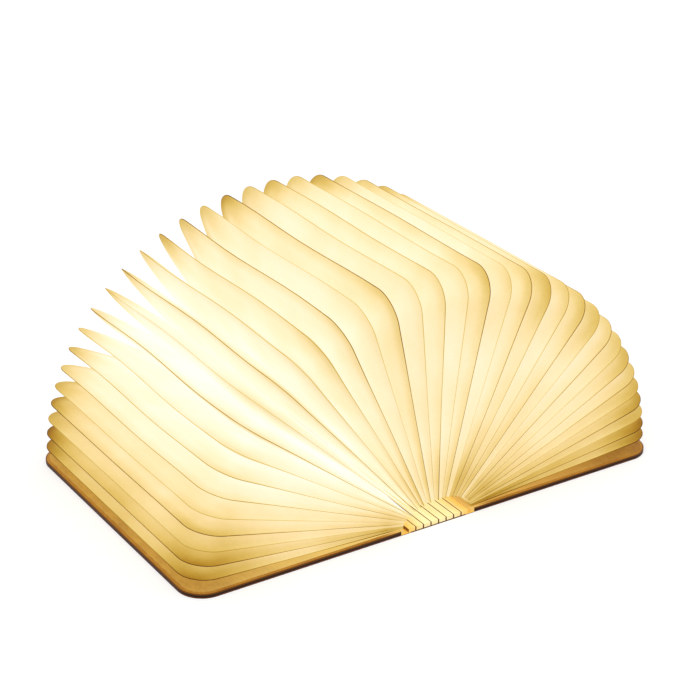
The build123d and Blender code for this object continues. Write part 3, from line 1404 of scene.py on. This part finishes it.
@dataclass
class Spine:
    """The floor between the covers, with its slats and the cloth of the two hinges."""

    slat_count: int = 8
    groove: float = 0.45 * MM
    rounding: float = 0.12 * MM
    lit_depth: float = 0.1 * MM
    cloth: float = 0.35 * MM
    cloth_cuts: int = 15
    cloth_smooth_angle: float = 60

    def slats(self) -> None:
        """Make the strips of pale wood on the spine's floor."""
        low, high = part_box("spine_slats")
        lit_from = high.z - self.lit_depth
        wood = Timber("pale_slats", (252, 228, 150), (255, 244, 192), groove_top=lit_from).build()
        pitch = (high.x - low.x + self.groove) / self.slat_count
        strips = []
        for number in range(self.slat_count):
            start = Vector((low.x + number * pitch, low.y, low.z))
            end = Vector((start.x + pitch - self.groove, high.y, high.z))
            strips.append(Bench.block(f"slat_{number + 1}", start, end, self.rounding))
        floor = Bench.join(*strips)
        floor.name = "slat_floor"
        Bench.shade(floor)
        stand_in(floor, wood, "slat_wood", "spine_slats")
        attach(floor, "spine")

    def hinge(self, side: Side, material: Material) -> None:
        """Make the cloth strip between the spine and a cover.

        Args:
            side: The cover's side.
            material: The cloth.
        """
        low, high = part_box(side.named("hinge_cloth"))
        strip = Bench.plane(side.named("hinge_strip"), Vector((low.x, low.y, high.z)), high)
        with Bench.editing(strip):
            Bench.pick_edges(strip, lambda a, b: abs(a.y - b.y) < TOUCH)
            bpy.ops.mesh.subdivide(number_cuts=self.cloth_cuts)
        Bench.finish_with(strip, "SOLIDIFY", thickness=self.cloth, offset=-1)
        middle = high.z - self.cloth / 2
        Bench.write(strip, "inner_side", [float(vertex.co.z > middle) for vertex in strip.data.vertices])
        Bench.shade(strip, self.cloth_smooth_angle)
        stand_in(strip, material, "cloth", side.named("hinge_cloth"))
        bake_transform(strip)

    def build(self, hide: Material, cloth: Material) -> None:
        """Make and dress the spine.

        Args:
            hide: The backing's finish.
            cloth: The hinges'.
        """
        self.slats()
        dress(hide, "spine_backing")
        for side in Side:
            self.hinge(side, cloth)


@dataclass(frozen=True)
class LightBar:
    """The lamp's tray with its battery, boards, lamps and milky dome."""

    tray: Moulded = Moulded("tray_plastic", (226, 208, 168), (248, 234, 200))
    dome: Moulded = Moulded("milky_dome", (255, 240, 200), (255, 250, 226), 0.4, 0.7)
    cell: Metal = Metal("battery_foil", (150, 152, 156), (205, 206, 208), 0.4)
    boards: Moulded = Moulded("white_solder_mask", (206, 214, 206), (232, 236, 230), 0.35)
    chip: Moulded = Moulded("chip_resin", (14, 14, 15), (34, 34, 36), 0.6)
    lamps: Moulded = Moulded("lamp_phosphor", (255, 222, 120), (255, 240, 176), 0.3, 0.8)
    port: Metal = Metal("port_shell", (150, 150, 154), (210, 210, 214), 0.25)
    screws: Metal = Metal("screw_steel", (120, 120, 124), (182, 182, 186), 0.35)

    def build(self) -> None:
        """Dress the light bar's parts."""
        dress(self.tray.build(), "light_tray", "near_end_cap", "far_end_cap")
        dress(self.dome.build(), "diffuser")
        dress(self.cell.build(), "battery_cell")
        dress(self.boards.build(), "control_board", "led_board")
        dress(self.chip.build(), "hall_sensor")
        dress(self.lamps.build(), "leds")
        dress(self.port.build(), "charge_port")
        dress(self.screws.build(), "tray_screws")


@dataclass(frozen=True)
class SoftLamp:
    """A large square lamp: its name, its place, its power in watts and the side of its face."""

    name: str
    place: tuple[float, float, float]
    power: float
    size: float = 0.8

    def hang(self, target: Vector) -> None:
        """Hang the lamp so that it looks at a point.

        Args:
            target: The point.
        """
        data = bpy.data.lights.new(self.name, "AREA")
        data.size = self.size
        data.energy = self.power
        light = bpy.data.objects.new(self.name, data)
        light.location = self.place
        light.rotation_euler = (target - Vector(self.place)).to_track_quat("-Z", "Y").to_euler()
        bpy.context.scene.collection.objects.link(light)


@dataclass(frozen=True)
class Studio:
    """The floor, the light and the camera."""

    camera_place: tuple[float, float, float] = (-0.3700, -0.5716, 0.3711)
    azimuth: float = 32.98
    elevation: float = 25.63
    roll: float = 0.55
    lens: float = 104.16
    sensor: float = 36.0
    nearest_seen: float = 10 * MM
    surroundings: float = 0.85
    floor_size: float = 6.0
    floor_drop: float = 0.02 * MM
    floor_tones: tuple[Colour, Colour] = ((196, 196, 196), (198, 198, 198))
    floor_speckle: float = 40 * MM
    floor_glow: float = 0.5
    lit_height: float = 30 * MM
    lamps: tuple[SoftLamp, ...] = (
        SoftLamp("key_light", (-0.7, -0.5, 1.1), 5.0),
        SoftLamp("fill_light", (0.9, -0.3, 0.7), 2.0),
    )

    def camera(self) -> None:
        """Put the camera where the picture was taken from."""
        data = bpy.data.cameras.new("camera")
        data.lens = self.lens
        data.sensor_width = self.sensor
        data.clip_start = self.nearest_seen
        camera = bpy.data.objects.new("camera", data)
        camera.location = self.camera_place
        aim = Euler((math.radians(90 - self.elevation), 0, -math.radians(self.azimuth))).to_quaternion()
        tilt = Quaternion((0, 0, 1), math.radians(self.roll))
        camera.rotation_euler = (aim @ tilt).to_euler()
        bpy.context.scene.collection.objects.link(camera)
        bpy.context.scene.camera = camera

    def shown(self, tree: bpy.types.NodeTree, otherwise: float, seen: float) -> Socket:
        """A strength for the rays that show the background, and another for those that light the object.

        Args:
            tree: The node tree of the world or of the floor's material.
            otherwise: The strength for the rays that light the object.
            seen: The strength for rays from the camera, in gloss and through glass.

        Returns:
            The strength's socket.
        """
        paths = tree.nodes.new("ShaderNodeLightPath")
        total = paths.outputs["Is Camera Ray"]
        for name in ("Is Glossy Ray", "Is Transmission Ray"):
            sum_node = tree.nodes.new("ShaderNodeMath")
            sum_node.operation = "ADD"
            sum_node.use_clamp = True
            tree.links.new(total, sum_node.inputs[0])
            tree.links.new(paths.outputs[name], sum_node.inputs[1])
            total = sum_node.outputs[0]
        strength = tree.nodes.new("ShaderNodeMapRange")
        strength.inputs["To Min"].default_value = otherwise
        strength.inputs["To Max"].default_value = seen
        tree.links.new(total, strength.inputs["Value"])
        return strength.outputs[0]

    def world(self) -> None:
        """Light the object evenly, and show white behind it."""
        world = bpy.data.worlds.new("world")
        bpy.context.scene.world = world
        world.use_nodes = True
        tree = world.node_tree
        back = tree.nodes["Background"]
        back.inputs["Color"].default_value = WHITE
        tree.links.new(self.shown(tree, self.surroundings, 1.0), back.inputs["Strength"])

    def floor(self) -> None:
        """Lay a pale floor that keeps the object's shadow."""
        corner = Vector((self.floor_size / 2, self.floor_size / 2, 0))
        drop = Vector((0, 0, self.floor_drop))
        floor = Bench.plane("floor", -corner - drop, corner - drop)
        graph = Graph("floor_white", roughness=0.9, sheen=0.0)
        speckle = graph.noise(graph.place(), self.floor_speckle)
        graph.colour(graph.ramp(speckle, tuple(zip(graph.noise_ends, self.floor_tones))))
        graph.shader.inputs["Emission Color"].default_value = WHITE
        strength = self.shown(graph.material.node_tree, 0.0, self.floor_glow)
        graph.links.new(strength, graph.shader.inputs["Emission Strength"])
        floor.data.materials.append(graph.material)

    def build(self) -> None:
        """Set up the studio."""
        self.camera()
        self.world()
        self.floor()
        for lamp in self.lamps:
            lamp.hang(Vector((0, 0, self.lit_height)))
        bpy.context.scene.view_settings.view_transform = "Standard"


def main() -> None:
    """Build and dress the lamp, then set up the studio."""
    logging.basicConfig(level=logging.INFO, format="%(name)s: %(message)s")
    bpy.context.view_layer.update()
    PageFan().build()
    hide = Hide().build()
    board = SheetPaper("board_edge_paper", (156, 98, 18), (192, 136, 42)).build()
    # The two linings are one paper with the lamp's light painted in, lighter on the left and more shaded on
    # the right.
    left_paper = SheetPaper(
        "left_lining_paper", (166, 114, 30), (210, 160, 60), lit=(255, 226, 136), fades_until=120 * MM
    )
    right_paper = SheetPaper(
        "right_lining_paper", (136, 86, 20), (184, 132, 46), lit=(236, 186, 92), fades_until=105 * MM
    )
    plated = Metal("plated_magnet", (150, 150, 154), (206, 206, 210), 0.2).build()
    for side, paper in ((Side.LEFT, left_paper), (Side.RIGHT, right_paper)):
        Cover(side).build(hide, board, paper.build(), plated)
    dress(plated, "sensor_magnet")
    Spine().build(hide, Weave().build())
    LightBar().build()
    Studio().build()


if __name__ == "__main__":
    main()
